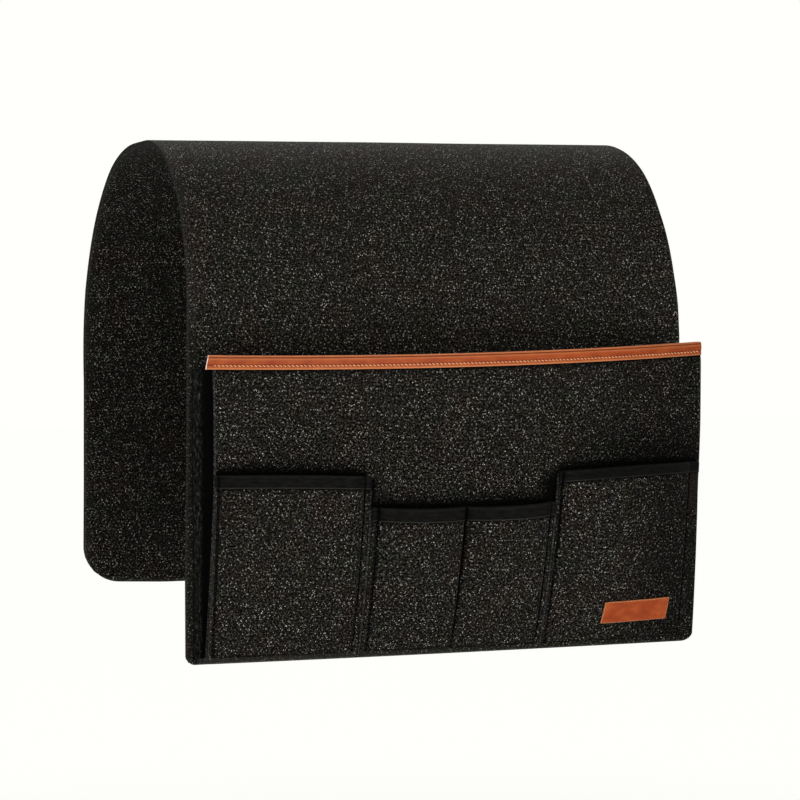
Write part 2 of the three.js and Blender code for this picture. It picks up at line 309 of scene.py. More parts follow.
def cut_felt_material():
    """The felt's cut edge, paler where it is marked so."""
    material, tree, shader = new_material("felt_cut_edge", Roughness=0.95, Specular_IOR_Level=0.02)
    fibres = noise(tree, cloth_place(tree), 0.9, 3.0, 0.6)
    darks = [(0.3, (0.006, 0.006, 0.0055)), (0.5, (0.016, 0.0157, 0.0145)), (0.7, (0.04, 0.039, 0.037))]
    pales = [(0.38, (0.008, 0.008, 0.0075)), (0.52, (0.028, 0.0275, 0.026)), (0.68, (0.2, 0.196, 0.185))]
    shade = ramp(tree, fibres, darks)
    paler = ramp(tree, fibres, pales)
    # Painted shade in folds and recesses on the cut edge's darker fibres
    lit = mix(tree, "MIX", mark(tree, "pale"), painted_crease_shade(tree, shade), paler)
    tree.links.new(lit, shader.inputs["Base Color"])
    set_bump(tree, shader, fibres, 0.5, 0.0003)
    return material


def gusset_material():
    """Smooth black cloth with faint upright streaks, and painted near-black shade in the inner half of its
    fold.
    """
    material, tree, shader = new_material("gusset_cloth", Roughness=0.7, Specular_IOR_Level=0.02)
    streaks = noise(tree, cloth_place(tree, (0.55, 0.25)), 1.0, 3.0, 0.7)
    weave = noise(tree, cloth_place(tree, (2.2, 2.2)), 1.0)
    grain = maths(tree, "EXPONENT", maths(tree, "MULTIPLY_ADD", streaks, 13.0, -7.1))
    shade = mix(tree, "MULTIPLY", 1.0, grain, (0.017, 0.0167, 0.0153))
    # Painted shade: near black in the fold's inner half, then painted shade in folds and recesses
    fold_shade = mix(tree, "MIX", mark(tree, "seam_and_shade"), shade, (0.0005, 0.0005, 0.0005))
    tree.links.new(painted_crease_shade(tree, fold_shade), shader.inputs["Base Color"])
    height = maths(tree, "ADD", streaks, maths(tree, "MULTIPLY", weave, 0.3))
    set_bump(tree, shader, height, 0.6, 0.0004)
    return material


def tape_material():
    """Black woven tape with fine ribs across it, and a painted highlight along its edges."""
    material, tree, shader = new_material("tape_weave", Roughness=0.65, Specular_IOR_Level=0.03)
    place = cloth_place(tree)
    ribs = add(tree, "TexWave", {"Vector": place, "Scale": 0.35, "Distortion": 1.0, "Detail": 1.0})["Fac"]
    patches = noise(tree, cloth_place(tree, (0.16, 0.6)), 1.0, 3.0, 0.65)
    shade = ramp(tree, patches, [(0.34, (0.0023, 0.0023, 0.0019)), (0.66, (0.0092, 0.0088, 0.0075))])
    # Painted highlight along the tape's edges where marked pale
    lit = mix(tree, "MIX", mark(tree, "pale"), shade, (0.06, 0.059, 0.055))
    # Black at seams, and painted shade and shadow where the mark says
    sewn = mix(tree, "MIX", mark(tree, "seam_and_shade"), lit, SEAM_AND_SHADE_BLACK)
    tree.links.new(sewn, shader.inputs["Base Color"])
    set_bump(tree, shader, maths(tree, "ADD", ribs, patches), 0.35, 0.0002)
    return material


def leather_material():
    """Tan leather with soft blotches and pores, with a painted highlight where it is marked pale, and
    darker at seams and in painted shade where it is marked so.
    """
    material, tree, shader = new_material("leather", Specular_IOR_Level=0.1)
    blotches = noise(tree, cloth_place(tree, (0.6, 1.0)), 0.16, 3.0)
    pores = noise(tree, cloth_place(tree), 1.6, 2.0, 0.6)
    tans = [(0.32, (0.32, 0.05, 0.012)), (0.5, (0.395, 0.07, 0.016)), (0.68, (0.47, 0.1, 0.024))]
    tone = ramp(tree, blotches, tans)
    grain = mix(tree, "MULTIPLY", 0.35, tone, ramp(tree, pores, [(0.35, 0.45), (0.55, 1.0)]))
    # Painted highlight where marked pale, and darker at seams and painted shade where marked
    paler = mix(tree, "MIX", mark(tree, "pale"), grain, (0.72, 0.26, 0.1))
    pressed = mix(tree, "MIX", mark(tree, "seam_and_shade"), paler, (0.12, 0.02, 0.005))
    tree.links.new(pressed, shader.inputs["Base Color"])
    tree.links.new(ramp(tree, pores, [(0.3, 0.36), (0.7, 0.56)]), shader.inputs["Roughness"])
    set_bump(tree, shader, maths(tree, "ADD", pores, blotches), 0.3, 0.00025)
    return material


def speckled_material(name, low, high, rough):
    """Fine spots between two colours."""
    material, tree, shader = new_material(name, Roughness=rough, Specular_IOR_Level=0.2)
    spots = noise(tree, cloth_place(tree), 1.3, 3.0, 0.6)
    tree.links.new(ramp(tree, spots, [(0.35, low), (0.65, high)]), shader.inputs["Base Color"])
    set_bump(tree, shader, spots, 0.3, 0.0002)
    return material


# Four cuts of one felt. Their ground levels are painted shade: lower on the back flap, the panel and the
# patches than on the strip.
felt = felt_material("felt", seed=0.0, ground=1.0, bright=1.0, lining=0.7)
back_felt = felt_material("felt_back", seed=5.0, ground=0.8, bright=1.15, lining=0.35)
panel_felt = felt_material("felt_panel", seed=17.0, ground=0.84, bright=0.84, lining=0.65)
patch_felt = felt_material("felt_patch", seed=31.0, ground=0.9, bright=0.88, lining=1.0)
cut_felt = cut_felt_material()
polyester = gusset_material()
tape_weave = tape_material()
leather = leather_material()
# The binding's raw cut end: pale leather, made paler still as a painted highlight
cut_leather = speckled_material("leather_cut", (0.8, 0.55, 0.42), (0.95, 0.85, 0.76), 0.8)
worn_leather = speckled_material("leather_worn", (0.42, 0.13, 0.045), (0.6, 0.24, 0.11), 0.7)
tan_thread = speckled_material("thread_tan", (0.75, 0.33, 0.14), (0.95, 0.58, 0.33), 0.6)
black_thread = speckled_material("thread_black", (0.002, 0.002, 0.002), (0.008, 0.008, 0.008), 0.6)


# Number helpers
def slope(distance, width):
    """0 for a distance of 0 and less, rising evenly to 1 at this width."""
    return np.clip(distance / width, 0, 1)


def bell(distance, width):
    """1 at no distance, falling smoothly to 0 on both sides."""
    return np.exp(-((distance / width) ** 2))


def near_edge(distance, edge, reach):
    """0 further inside an edge than this reach, rising evenly to 1 at the edge."""
    return slope(distance - edge + reach, reach)


def unit(vectors):
    return vectors / np.maximum(np.linalg.norm(vectors, axis=-1, keepdims=True), 1e-9)


def length_of(points):
    return float(np.linalg.norm(np.diff(points, axis=0), axis=1).sum())


def lengths_along(points):
    """Length of a path from its first point to each of its points."""
    return np.concatenate([[0], np.cumsum(np.linalg.norm(np.diff(points, axis=0), axis=1))])


def graded(low, high, count, *refined):
    """Evenly spaced stops with extra ones where they are named."""
    values = sorted({*np.linspace(low, high, count).tolist(), *(float(v) for v in refined)})
    kept = [low]
    for v in values:
        if v - kept[-1] > CLOSEST_STOPS and v < high - CLOSEST_STOPS:
            kept.append(v)
    return np.array(kept + [high])


def near(value, *offsets):
    """Stops on both sides of a value."""
    return [value + side * v for v in offsets for side in (-1, 1)]


# Mesh helpers
def make_piece(name, points, faces, materials, places, slots=None, marks=None, angle=50):
    """Points in millimetres. Places are millimetres along and across the cloth for each point."""
    mesh = bpy.data.meshes.new(name)
    mesh.from_pydata((np.asarray(points) * MM).tolist(), [], faces)
    for material in materials:
        mesh.materials.append(material)
    if slots is not None:
        mesh.polygons.foreach_set("material_index", slots)
    layer = mesh.uv_layers.new(name="cloth")
    corners = np.zeros(len(mesh.loops), np.int32)
    mesh.loops.foreach_get("vertex_index", corners)
    layer.uv.foreach_set("vector", np.asarray(places, np.float32)[corners].ravel())
    for key, values in (marks or {}).items():
        attribute = mesh.attributes.new(key, "FLOAT", "POINT")
        attribute.data.foreach_set("value", np.asarray(values, np.float32).ravel())
    mesh.polygons.foreach_set("use_smooth", [True] * len(mesh.polygons))
    mesh.set_sharp_from_angle(angle=math.radians(angle))
    mesh.update()
    return new_object(name, mesh)


def border(rows, columns):
    """Rows and columns of the points round a grid, in order."""
    ring = [(0, j) for j in range(columns)]
    ring += [(i, columns - 1) for i in range(1, rows)]
    ring += [(rows - 1, j) for j in range(columns - 2, -1, -1)]
    ring += [(i, 0) for i in range(rows - 2, 0, -1)]
    return ring


# The points of a rounded cut edge: place across the thickness, share of the way out, and how pale
EDGE_POINTS = ((0.8, 0.72, 0.9), (0.0, 1.0, 0.1), (-0.8, 0.72, 0.9))


def sheet_mesh(name, outer, inner, places, materials, edge, plain_side=None, marks=None):
    """A closed sheet between two grids of points. Its cut edges are rounded, stand out by edge and
    take the second material, but for plain_side, low or high, which stays where it is. A mark named
    rim says how light the outline of each face is, and is 1 where none is given."""
    rows, columns = outer.shape[:2]
    outer = outer.copy()
    inner = inner.copy()
    middle = (outer + inner) / 2
    ring = border(rows, columns)
    at = tuple(np.array(ring).T)
    away = np.zeros((len(ring), 3))
    for k, (i, j) in enumerate(ring):
        if i == 0 and plain_side != "low":
            away[k] += unit(middle[0, j] - middle[1, j])
        if i == rows - 1 and plain_side != "high":
            away[k] += unit(middle[-1, j] - middle[-2, j])
        if j == 0:
            away[k] += unit(middle[i, 0] - middle[i, 1])
        if j == columns - 1:
            away[k] += unit(middle[i, -1] - middle[i, -2])
    away = unit(away)
    outer[at] -= away * edge
    inner[at] -= away * edge
    loops = []
    for across, out, _ in EDGE_POINTS:
        loops.append(middle[at] + (outer[at] - inner[at]) / 2 * across + away * edge * out)
    points = np.concatenate([outer.reshape(-1, 3), inner.reshape(-1, 3), *loops])
    flat = np.concatenate([places.reshape(-1, 2)] * 2 + [places[at]] * len(loops))
    count = rows * columns
    paler = [0.0, 0.0] + [share for _, _, share in EDGE_POINTS]
    grids = {"pale": np.repeat(paler, [count, count] + [len(ring)] * len(loops))}
    rim = np.zeros((rows, columns))
    rim[at] = np.linalg.norm(away, axis=1) > 0.5
    marks = dict(marks or {})
    marks["rim"] = rim * marks.get("rim", 1.0)
    for key, values in marks.items():
        grids[key] = np.concatenate([values.ravel()] * 2 + [values[at]] * len(loops))
    faces, slots = [], []
    for i in range(rows - 1):
        for j in range(columns - 1):
            a, b = i * columns + j, i * columns + j + 1
            c, d = b + columns, a + columns
            faces += [(a, b, c, d), (count + a, count + d, count + c, count + b)]
            slots += [0, 0]
    bands = [[i * columns + j for i, j in ring]]
    bands += [[2 * count + k * len(ring) + n for n in range(len(ring))] for k in range(len(loops))]
    bands += [[count + i * columns + j for i, j in ring]]
    edge_slot = min(1, len(materials) - 1)
    for band, following in zip(bands, bands[1:]):
        for n in range(len(ring)):
            m = (n + 1) % len(ring)
            faces.append((band[n], following[n], following[m], band[m]))
            slots.append(edge_slot)
    return make_piece(name, points, faces, materials, flat, slots, grids)


def sweep_mesh(name, section, frames, along, materials, marks, along_marks, raw_start=False):
    """A closed body swept through frames of origin, out and up. The section is a closed ring of
    (out, up) points, and has marks for its points. along_marks are for the frames. The two ends take
    the last material, and so does the first length where the start is a raw cut."""
    origins, outs, ups = frames
    section = np.asarray(section, float)
    n, count = len(section), len(origins)
    points = origins[:, None] + outs[:, None] * section[None, :, :1] + ups[:, None] * section[None, :, 1:]
    flat = np.stack([np.repeat(along, n), np.tile(lengths_along(section), count)], axis=1)
    grids = {key: np.tile(values, count) for key, values in marks.items()}
    for key, values in along_marks.items():
        grids[key] = np.maximum(grids[key], np.repeat(values, n))
    faces, slots = [], []
    for k in range(count - 1):
        for i in range(n):
            j = (i + 1) % n
            faces.append((k * n + i, (k + 1) * n + i, (k + 1) * n + j, k * n + j))
            slots.append(len(materials) - 1 if raw_start and k == 0 else 0)
    faces.append(tuple(range(n)))
    faces.append(tuple((count - 1) * n + i for i in reversed(range(n))))
    slots += [len(materials) - 1] * 2
    return make_piece(name, points.reshape(-1, 3), faces, materials, flat, slots, grids)


def round_low_corners(x, t, half, radius, left_radius=None):
    """Grid points of a rectangle, from its middle and its lower side, moved so that its two lower
    corners are round."""
    radius = np.where(x < 0, radius if left_radius is None else left_radius, radius)
    a = slope(np.abs(x) - (half - radius), radius)
    b = slope(radius - t, radius)
    inside = (a > 0) & (b > 0)
    moved_x = np.sign(x) * (half - radius + radius * a * np.sqrt(1 - b * b / 2))
    moved_t = radius - radius * b * np.sqrt(1 - a * a / 2)
    return np.where(inside, moved_x, x), np.where(inside, moved_t, t)


def wave(x, s, size=0.35):
    """Slow unevenness of hand-laid felt."""
    return size * (
        np.sin(x / 31.0 + s / 47.0 + 0.6)
        + 0.7 * np.sin(x / 17.0 - s / 29.0 + 2.1)
        + 0.5 * np.sin(s / 13.0 + x / 57.0 + 4.0)
    )


# Strip: a path in the Y-Z plane with its outer normal, then the two halves of it
def bend(side, reach, fall):
    """The quarter of an ellipse from a drop up to the flat top, and its outer normals."""
    along = reach - TOP_FLAT / 2
    t = np.linspace(0, math.pi / 2, 400)
    points = np.stack([side * (TOP_FLAT / 2 + along * np.cos(t)), TOP_Z - fall + fall * np.sin(t)], axis=1)
    normals = unit(np.stack([side * np.cos(t) / along, np.sin(t) / fall], axis=1))
    return points, normals


def strip_path():
    """Points, outer normals and lengths along the outer face, from the front's lower end to the
    back's, and the length at the middle of the flat top."""
    front, front_normals = bend(-1, FRONT_REACH, FRONT_FALL)
    back, back_normals = bend(1, BACK_REACH, BACK_FALL)
    used = TOP_FLAT + length_of(front) + length_of(back) + FRONT_DROP + FLOOR_DEPTH + HEM_ALLOWANCE
    drop = np.linspace(0, STRIP_LENGTH - used, 60)[1:]
    leg = np.linspace(FLOOR_Z - HEM_SAG, FRONT_HINGE_Z, 60)[:-1]
    legs = np.stack([np.full_like(leg, -FRONT_REACH), leg], axis=1)
    lean = np.array([math.sin(BACK_LEAN), -math.cos(BACK_LEAN)])
    flap = np.array([BACK_REACH, BACK_HINGE_Z]) + drop[:, None] * lean
    points = np.concatenate([legs, front, back[::-1], flap])
    leg_normals = np.tile((-1.0, 0.0), (len(legs), 1))
    flap_normals = np.tile((math.cos(BACK_LEAN), math.sin(BACK_LEAN)), (len(flap), 1))
    normals = np.concatenate([leg_normals, front_normals, back_normals[::-1], flap_normals])
    lengths = lengths_along(points)
    top = lengths[len(legs) + len(front) - 1] + TOP_FLAT / 2
    return points, normals, lengths, float(top)


path_points, path_normals, path_lengths, TOP_S = strip_path()
STRIP_S = float(path_lengths[-1])


def strip_at(s):
    """The strip's place and outer normal in the Y-Z plane at a length."""
    y = np.interp(s, path_lengths, path_points[:, 0])
    z = np.interp(s, path_lengths, path_points[:, 1])
    normal = unit(np.stack([np.interp(s, path_lengths, path_normals[:, k]) for k in (0, 1)], axis=-1))
    return y, z, normal


def strip_surface(x, s):
    """Outer face and outer direction at a place on the strip. Its left edge waves a little, its right
    edge stands out beside the pocket's mouth, the left corner of the back hem is drawn up, and the
    top rises a little to the right."""
    pulled = 2.28 * near_edge(-x, HALF, 60) * near_edge(s, STRIP_S, 90)
    y, z, normal = strip_at(s - pulled)
    stops = (0, 60, 130, 200, 300, TOP_S - 30, TOP_S + 30, TOP_S + 90, TOP_S + 220, TOP_S + 290)
    waving = np.interp(s, stops, (-1.8, -1.7, -0.3, 0.2, 1.3, 1.0, 0, -0.8, -0.9, 0.5))
    rise = (0.75 + 0.9 * x / HALF) * bell(s - TOP_S, 120)
    uneven = wave(x, s) * slope(s - 230, 60) * (1 - bell(s - TOP_S, 60))
    out = np.stack([np.zeros_like(x), normal[..., 0], normal[..., 1]], axis=-1)
    flare = np.interp(s, (0, 130, 195, 215, 237, 258, 283, 320), (0, 0.6, 3.6, 2.7, 0.8, 0, -0.8, 0))
    moved = x + waving * near_edge(-x, HALF, 100) + flare * near_edge(x, HALF, 100)
    return np.stack([moved, y, z], axis=-1) + out * (rise + uneven)[..., None], out


def strip_piece(name, hem, corner, face):
    """Half of the strip, from its round-cornered hem at this length to the middle of the top."""
    low, high = sorted((hem, TOP_S))
    inwards, top_side = (1, "high") if hem < TOP_S else (-1, "low")
    edge = np.linspace(0, corner, 9)
    rows = graded(low, high, int((high - low) / 5) + 1, *(hem + inwards * edge))
    columns = graded(-HALF, HALF, 57, *(HALF - edge), *(edge - HALF))
    x, s = np.meshgrid(columns, rows)
    x, t = round_low_corners(x, inwards * (s - hem), HALF, corner)
    outer, out = strip_surface(x, hem + inwards * t)
    places = np.stack([x, hem + inwards * t], axis=-1)
    inner = outer - out * FELT
    smooth_margin = slope(-x - HALF + 6, 1.5)
    marks = {"pressed": 0.35 * smooth_margin}
    return sheet_mesh(name, outer, inner, places, [face, cut_felt], 0.45, top_side, marks)


strip_front = strip_piece("strip_front", 0.0, FRONT_CORNER, felt)
strip_back = strip_piece("strip_back", STRIP_S, BACK_CORNER, back_felt)


# Pocket panel
def through(low, middle, high, h):
    """The quadratic that has these values at 0, a half and 1."""
    return low + (4 * middle - 3 * low - high) * h + (2 * low + 2 * high - 4 * middle) * h * h


def crown(x):
    """How far a belly stands out across the width, as a share of its most."""
    return 1 - (x / HALF) ** 2


def left_pull(h):
    """How far the panel's left edge stands to the right of straight, by its height."""
    return np.interp(h, (0, 0.15, 0.35, 0.55, 0.85, 0.94, 1), (0.5, 1.0, 1.8, 2.5, 2.1, 1.4, 0.5))


def right_pull(h):
    """The same at the panel's right edge."""
    return np.interp(h, (0, 0.1, 0.25, 0.4, 0.55, 0.75, 0.95, 1), (2.2, 1.9, 1.1, 0.6, 0.4, 0.9, 0.8, 0))


def panel_point(x, z):
    """The panel's outer face. The gussets draw its two side edges to the right by a millimetre or two."""
    h = (z - FLOOR_Z) / POCKET_HEIGHT
    side = through(FLOOR_DEPTH, MIDDLE_DEPTH, MOUTH_DEPTH, h)
    bulge = through(0, MIDDLE_BULGE, MOUTH_BULGE, h)
    uneven = wave(x, z + PANEL_ON_WAVE, 0.22) * slope(h, 0.25)
    drawn = left_pull(h) * near_edge(-x, PANEL_HALF, 37) ** 2
    drawn = drawn + right_pull(h) * near_edge(x, PANEL_HALF, 9) ** 2
    return np.stack([x + drawn, -FRONT_REACH - side - bulge * crown(x) - uneven, z], axis=-1)


def panel_frame(x, z):
    """A point of the panel's outer face with its directions along, up and out."""
    x, z = np.broadcast_arrays(np.asarray(x, float), np.asarray(z, float))
    step = 0.5
    along = unit(panel_point(x + step, z) - panel_point(x - step, z))
    up = unit(panel_point(x, z + step) - panel_point(x, z - step))
    return panel_point(x, z), along, up, unit(np.cross(along, up))


def off_panel(x, z, distance):
    """A point this far out from the panel's outer face."""
    origin, _, _, out = panel_frame(x, z)
    return origin + out * np.asarray(distance)[..., None]


def mouth_z(x):
    """Height of the panel's upper edge, which sags in the middle and rises to the right."""
    level = FLOOR_Z + POCKET_HEIGHT - CLEAR - LEATHER + MOUTH_LIFT
    return level - MOUTH_SAG * crown(x) + MOUTH_RISE * x / (2 * HALF)


def front_panel():
    edge = PANEL_HALF - np.linspace(0, PANEL_CORNER, 6)
    line = near(PANEL_LINE, 0, 0.6, 1.4, 2.4)
    columns = graded(-PANEL_HALF, PANEL_HALF, 81, *edge, *(-edge), *line)
    corner_rows = np.linspace(0, PANEL_CORNER, 6) / (POCKET_HEIGHT - 2)
    rows = np.concatenate([corner_rows, np.linspace(0.06, 1, 90)])
    x, v = np.meshgrid(columns, rows)
    low = FLOOR_Z + PANEL_LOW
    x, t = round_low_corners(x, v * (mouth_z(x) - low), PANEL_HALF, PANEL_CORNER, SEWN_CORNER)
    z = low + t
    outer = off_panel(x, z, 0.0)
    inner = off_panel(x, z, -FELT)
    # Painted shadow under the binding, added to the painted shade on the panel
    below_binding = 0.8 * bell(z - mouth_z(x) + BINDING_HEIGHT + 1.2, 1.3)
    marks = {"seam_and_shade": np.maximum(below_binding, shade_on_panel(x, z))}
    places = np.stack([x + PANEL_ON_PATTERN, z], axis=-1)
    return sheet_mesh("front_panel_felt", outer, inner, places, [panel_felt, cut_felt], 0.45, marks=marks)


# Patch pockets: two ends, the mouth's heights at left, middle and right, the tape's height, and the
# pairs of seams that bound the cells
Patch = namedtuple("Patch", "left right tops tape cells")
MIDDLE_CELLS = [(-58.2, DIVIDER), (DIVIDER, 51.2)]
PATCHES = {
    "left": Patch(-OUTER_EDGE, LEFT_SPLIT - CLEAR, (113.4, 113.9, 111.8), 6.3, [(-154.0, -67.2)]),
    "middle": Patch(LEFT_SPLIT + CLEAR, RIGHT_SPLIT - CLEAR, (93.2, 92.2, 93.6), 6.8, MIDDLE_CELLS),
    "right": Patch(RIGHT_SPLIT + CLEAR, OUTER_EDGE, (112.0, 114.7, 114.5), 5.2, [(57.9, 147.9)]),
}


def patch_top(patch, x):
    """Height of a patch's upper edge."""
    return FLOOR_Z + through(*patch.tops, (x - patch.left) / (patch.right - patch.left))


def shade_to_right(x, start, end, depth):
    """Painted shade: the slow darkening of a cloth towards the right side."""
    return depth * slope(x - start, end - start)


def shade_on_panel(x, z):
    """Painted shade and shadow on the felt: a band above each mouth, a line beside the left pocket, the
    nook beside the right one and a soft shade above it. The panel also darkens towards the right."""
    shade = np.zeros_like(x)
    for patch in PATCHES.values():
        over = slope(x - patch.left, 2) * slope(patch.right - x, 2)
        above = z - patch_top(patch, x)
        band = np.where(above > -4, 0.95 * bell(np.maximum(above - 2, 0), 5), 0)
        shade = np.maximum(shade, over * band)
    left, middle, right = PATCHES.values()
    line = bell(x - PANEL_LINE, 1.5) * (z < patch_top(left, x))
    beside = slope(x - right.left + 15, 9) * (x < right.left + 2)
    between = slope(patch_top(right, x) - z + 3, 6) * (z > patch_top(middle, x) - 4)
    over_right = bell(z - patch_top(right, x), 22) * slope(x - right.left, 15)
    soft = 0.45 * over_right + shade_to_right(x, *PANEL_SHADE_TO_RIGHT)
    return np.maximum.reduce([shade, line, 0.95 * beside * between, soft])


panel = front_panel()


def arc(centre_out, centre_up, radius, start, end, count):
    """Points of a section along a part of a circle."""
    stops = np.linspace(start, end, count)
    return [(centre_out + radius * math.cos(t), centre_up + radius * math.sin(t)) for t in stops]


def folded(front, top, felt_thickness, paler):
    """A closed section up the front, over a felt edge and down its back, with the marks of its points.
    A point of the front has its distance out, its height, how pale it is as a painted highlight and how
    dark it is at seams and as painted shade. The points over the top are all equally pale."""
    shown = front + [(o, u, paler, 0.0) for o, u in top]
    section = shown + [(-o - felt_thickness, u, pale, seam_and_shade) for o, u, pale, seam_and_shade in reversed(shown)]
    section += [(-felt_thickness - CLEAR, CLEAR, 0.0, 0.0), (CLEAR, CLEAR, 0.0, 0.0)]
    section = np.array(section)
    return section[:, :2], {"pale": section[:, 2], "seam_and_shade": section[:, 3]}


def mouth_binding():
    """Leather folded over the panel's mouth. It reaches past the panel's left edge, where its raw end
    leans over."""
    # Each point: out, up, painted highlight, and darkness at the stitches and as painted shade under the
    # top fold
    front = [
        (0.35, -7.2, 0.5, 0),
        (1.15, -7.2, 0.9, 0),
        (1.45, -6.95, 0.9, 0),
        (1.52, -6.55, 0.6, 0),
        (1.5, -6.15, 0.25, 0),
        (1.42, -5.8, 0.15, 0),
        (1.3, -5.45, 0.1, 0.1),
        (1.2, STITCH_UP, 0, 0.45),
        (1.3, -4.55, 0, 0.75),
        (1.46, -4.15, 0, 0.35),
        (1.56, -3.6, 0, 0),
        (1.66, -2.6, 0, 0),
        (1.68, -1.7, 0.12, 0),
        (1.6, -0.95, 0.48, 0),
        (1.48, -0.5, 0.2, 0.4),
        (1.36, -0.25, 0, 1),
        (1.34, 0.0, 0, 0.8),
    ]
    section, marks = folded(front, arc(0.4, 0.15, 0.9, 0.1, math.pi / 2, 4), FELT, 0.6)
    x = np.concatenate([[-PANEL_HALF - 2.4], np.linspace(-PANEL_HALF - 1.9, PANEL_HALF, 90)])
    origin, _, up, out = panel_frame(x, mouth_z(x))
    lean = 0.28 * np.exp(-(x - x[0]) / 8)
    up[:, 0] += lean
    frames = (origin, out, up)
    materials = [leather, cut_leather]
    # Painted shade: the binding darkens towards the right side
    along = {"seam_and_shade": shade_to_right(x, *BINDING_SHADE_TO_RIGHT)}
    return sweep_mesh("mouth_binding_leather", section, frames, x, materials, marks, along, raw_start=True)


binding = mouth_binding()


# Patch pockets
def share_up(patch, x, z):
    """0 at the bottom seam, 1 from the tape upwards."""
    low = FLOOR_Z + BOTTOM_SEAM
    return slope(z - low, patch_top(patch, x) - patch.tape - low)


def gape(patch, x, z):
    """How far a cell stands open, straight to the front."""
    across = np.zeros_like(x)
    for a, b in patch.cells:
        across = np.maximum(across, np.sin(math.pi * slope(x - a, b - a)))
    return GAPE * np.maximum(across, 0) ** 0.6 * share_up(patch, x, z) ** 0.6


def seams(patch):
    """Where a patch's upright seams are, from left to right."""
    return sorted({x for cell in patch.cells for x in cell})


def sewn(patch, x, z):
    """1 along the seams, falling to 0 beside them."""
    along = np.zeros_like(x)
    for seam in seams(patch):
        along = np.maximum(along, np.minimum(1.6 * bell(x - seam, 0.58), 1))
    ends = seams(patch)
    above = z > FLOOR_Z + BOTTOM_SEAM
    between = (x > ends[0] - 0.5) & (x < ends[-1] + 0.5)
    bottom = bell(z - FLOOR_Z - BOTTOM_SEAM, 0.6) * 0.6
    return np.maximum(along * above, bottom * between)


def flattened(patch, x, z):
    """How far the felt is pressed smooth in the margins outside the seams: most beside the right
    pocket's mouth, some along the left edge, and below the bottom seam less towards the right."""
    ends = seams(patch)
    side = np.maximum(ends[0] - x, x - ends[-1])
    upper_right = (x > BETWEEN_PATCHES) & (share_up(patch, x, z) > 0.78)
    smooth = np.where(upper_right, 0.9, np.where(x < -150, 0.5, 0.1))
    sides = slope(side, 0.8) * smooth
    bottom = slope(FLOOR_Z + BOTTOM_SEAM - z, 0.8) * np.interp(x, (-60, 60), (0.8, 0.3))
    return np.maximum(sides, bottom)


def patch_point(patch, x, z, distance):
    """A point this far outside a patch's inner face. The outer margin of the right pocket is drawn in
    towards its mouth, and there is room for the tape between the mouth and the panel."""
    up = share_up(patch, x, z)
    tucked = x - (1.7 * up + 0.6 * up**6) * slope(x - 149.5, 7)
    points = off_panel(tucked, z, CLEAR + (TAPE + CLEAR) * up + distance)
    points[..., 1] -= gape(patch, x, z)
    return points


def beside_next(patch, x):
    """Painted shadow where the next patch begins: 1 at the patch's ends there, falling to 0 beside them."""
    to_end = np.minimum(np.abs(x - patch.left), np.abs(x - patch.right))
    return bell(to_end, 0.9) * (np.abs(x) < BETWEEN_PATCHES)


def patch_columns(patch):
    """Stops across a patch, close together at its seams and its ends."""
    left, right = patch.left, patch.right
    fine = [v for seam in seams(patch) for v in near(seam, 0, 0.3, 0.6, 1.0, 1.6, 2.6, 4)]
    fine += [v for end in (left, right) for v in near(end, 0.4, 0.8, 1.3, 2.0) if left < v < right]
    return graded(left, right, int((right - left) / 4) + 1, *fine)


def patch_pocket(name):
    """The felt of a patch pocket. Its rows go from 0 at the lower edge to 1 at the tape's lower edge
    and 2 at the mouth. Its inner face gives way at the seams, so that no gap shows from above."""
    patch = PATCHES[name]
    height = patch.tops[1] - patch.tape - PATCH_LOW
    stops = near(BOTTOM_SEAM - PATCH_LOW, 0, 0.3, 0.6, 1.0, 1.6, 2.6)
    stops += [height - 2.2, height - 1.4, height - 0.7]
    fine = [v / height for v in stops]
    body = [v for v in sorted({*np.linspace(0, 1, 28), *fine}) if v >= 0]
    rows = np.array(body + [1.5, 2])
    x, v = np.meshgrid(patch_columns(patch), rows)
    tape_low = patch_top(patch, x) - patch.tape
    low = FLOOR_Z + PATCH_LOW
    z = np.where(v > 1, tape_low + (v - 1) * patch.tape, low + v * (tape_low - low))
    x, t = round_low_corners(x, z - low, OUTER_EDGE, PANEL_CORNER - 0.4, SEWN_CORNER - 0.4)
    z = low + t
    seam_and_shade = sewn(patch, x, z)
    outer = patch_point(patch, x, z, PATCH_FELT - GROOVE * seam_and_shade)
    inner = patch_point(patch, x, z, -SEAM_PRESS * seam_and_shade)
    # Painted shadow: a dark line just under the tape
    under_tape = 0.8 * bell(z - tape_low + 0.6, 0.7)
    on_outline = (np.abs(x) > BETWEEN_PATCHES) | (z < FLOOR_Z + 3)
    marks = {
        # Seams, and painted shade and shadow: under the tape, towards the right and where the next patch
        # begins
        "seam_and_shade": np.maximum.reduce([seam_and_shade, under_tape, shade_to_right(x, *PATCH_SHADE_TO_RIGHT), 0.9 * beside_next(patch, x)]),
        "pressed": flattened(patch, x, z),
        "rim": np.where(on_outline, 1.0, 0.15),
    }
    places = np.stack([x, z], axis=-1)
    return sheet_mesh("patch_felt_" + name, outer, inner, places, [patch_felt, cut_felt], 0.35, marks=marks)


